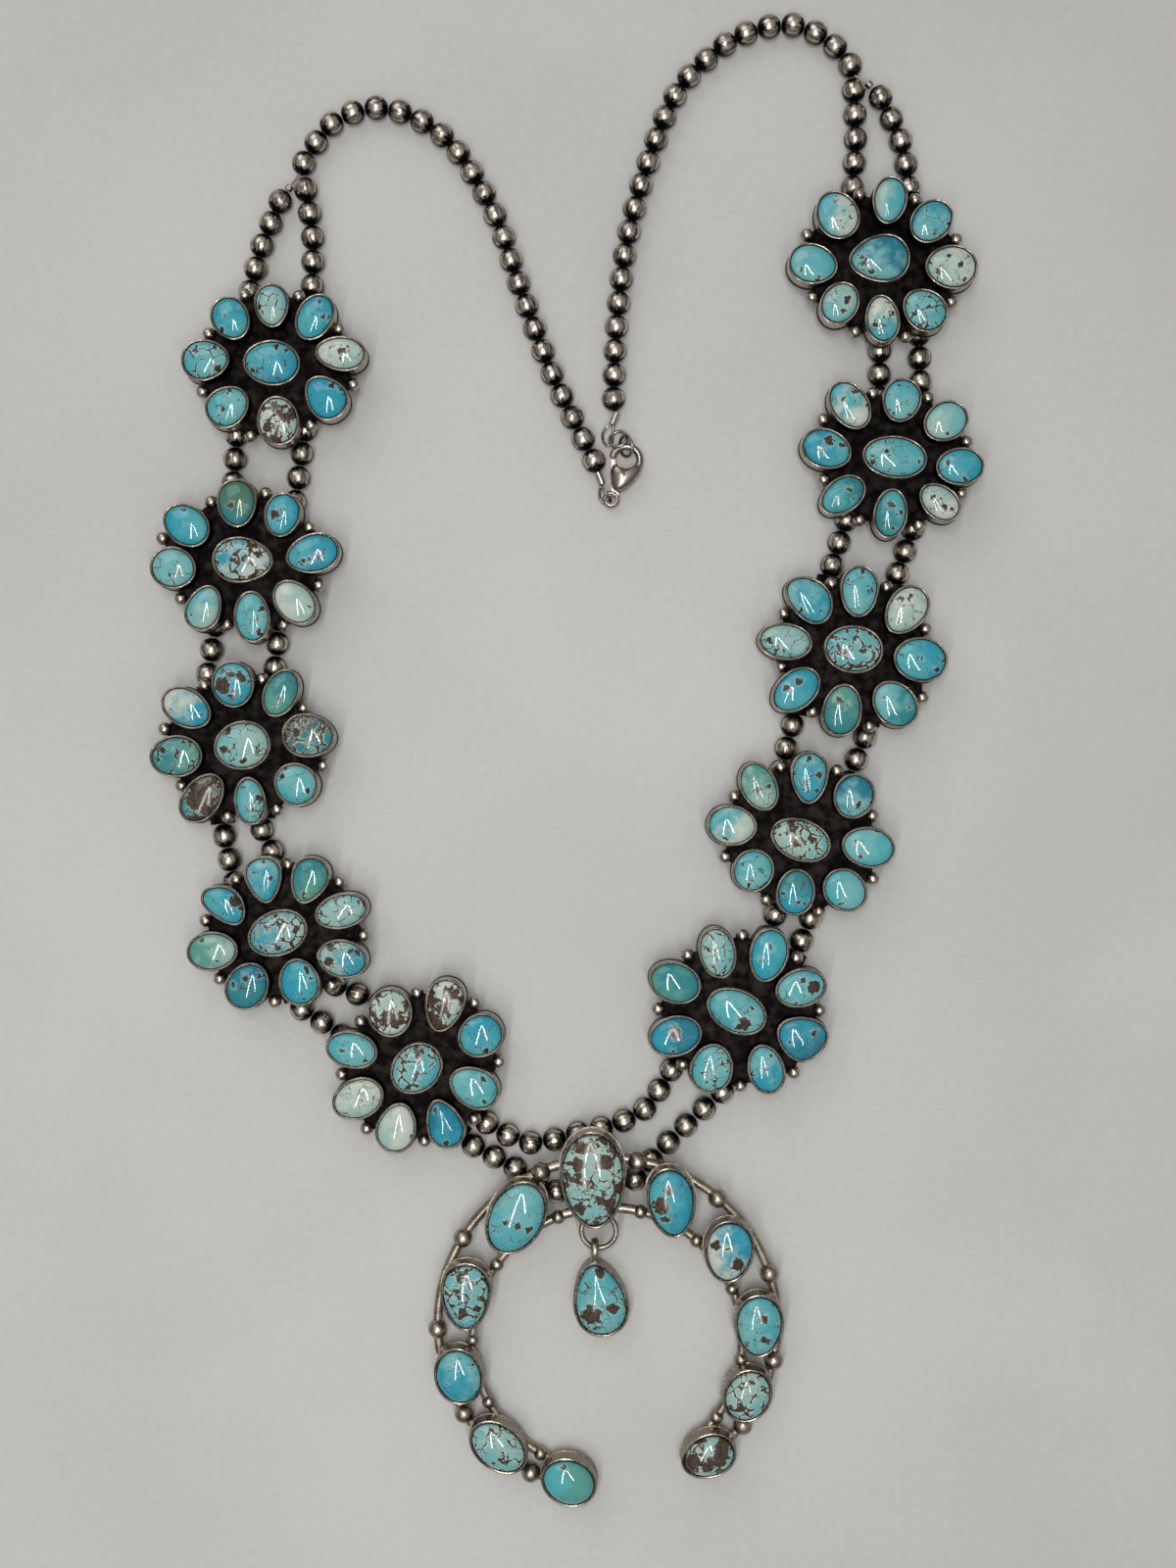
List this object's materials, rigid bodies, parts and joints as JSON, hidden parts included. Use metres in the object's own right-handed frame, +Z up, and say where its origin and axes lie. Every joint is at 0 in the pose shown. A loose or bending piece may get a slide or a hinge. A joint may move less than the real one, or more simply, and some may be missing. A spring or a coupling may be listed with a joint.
{
  "type": "squash blossom necklace",
  "caption": "Necklace of silver beads with blossom clusters of set stones, an open crescent pendant with a small drop, and a lobster clasp, lying flat.",
  "frame": {"origin": "middle of the whole outline, on the surface that the necklace lies on", "axes": "+Z up, +Y from the crescent towards the clasp end, along the longest extent"},
  "size_m": [0.1676, 0.3036, 0.0125],
  "materials": {
    "silver_settings": "oxidised silver, bright on the rims",
    "silver_beads": "polished silver with dark ends",
    "silver_clasp": "polished silver",
    "stringing_wire": "coated stringing wire",
    "turquoise": "polished turquoise with brown matrix"
  },
  "bodies": {
    "necklace": {"cluster_l1": "silver_settings", "cluster_l2": "silver_settings", "cluster_l3": "silver_settings", "cluster_l4": "silver_settings", "cluster_l5": "silver_settings", "cluster_r1": "silver_settings", "cluster_r2": "silver_settings", "cluster_r3": "silver_settings", "cluster_r4": "silver_settings", "cluster_r5": "silver_settings", "petals_l1": "turquoise", "petals_l2": "turquoise", "petals_l3": "turquoise", "petals_l4": "turquoise", "petals_l5": "turquoise", "petals_r1": "turquoise", "petals_r2": "turquoise", "petals_r3": "turquoise", "petals_r4": "turquoise", "petals_r5": "turquoise", "center_l1": "turquoise", "center_l2": "turquoise", "center_l3": "turquoise", "center_l4": "turquoise", "center_l5": "turquoise", "center_r1": "turquoise", "center_r2": "turquoise", "center_r3": "turquoise", "center_r4": "turquoise", "center_r5": "turquoise", "naja_setting": "silver_settings", "naja_stone_top": "turquoise", "naja_stone_left1": "turquoise", "naja_stone_left2": "turquoise", "naja_stone_left3": "turquoise", "naja_stone_left4": "turquoise", "naja_stone_left5": "turquoise", "naja_stone_right1": "turquoise", "naja_stone_right2": "turquoise", "naja_stone_right3": "turquoise", "naja_stone_right4": "turquoise", "naja_stone_right5": "turquoise", "drop_setting": "silver_settings", "drop_stone": "turquoise", "beads_neck_left": "silver_beads", "beads_neck_right": "silver_beads", "beads_left_inner": "silver_beads", "beads_left_outer": "silver_beads", "beads_right_inner": "silver_beads", "beads_right_outer": "silver_beads", "thread_inner": "stringing_wire", "thread_outer": "stringing_wire", "fork_crimps": "silver_clasp", "crimp_left": "silver_clasp", "crimp_right": "silver_clasp", "ring_chain": "silver_clasp", "ring_hook": "silver_clasp", "clasp_body": "silver_clasp"},
    "lever": {"clasp_lever": "silver_clasp"}
  },
  "joints": [
    {"name": "lever_hinge", "type": "hinge", "parent": "necklace", "child": "lever", "pos_m": [0.00989, 0.05748, 0.0014], "axis": [0, 0, -1], "range_deg": [0, 25], "stiffness_Nm_per_rad": 0.001}
  ]
}
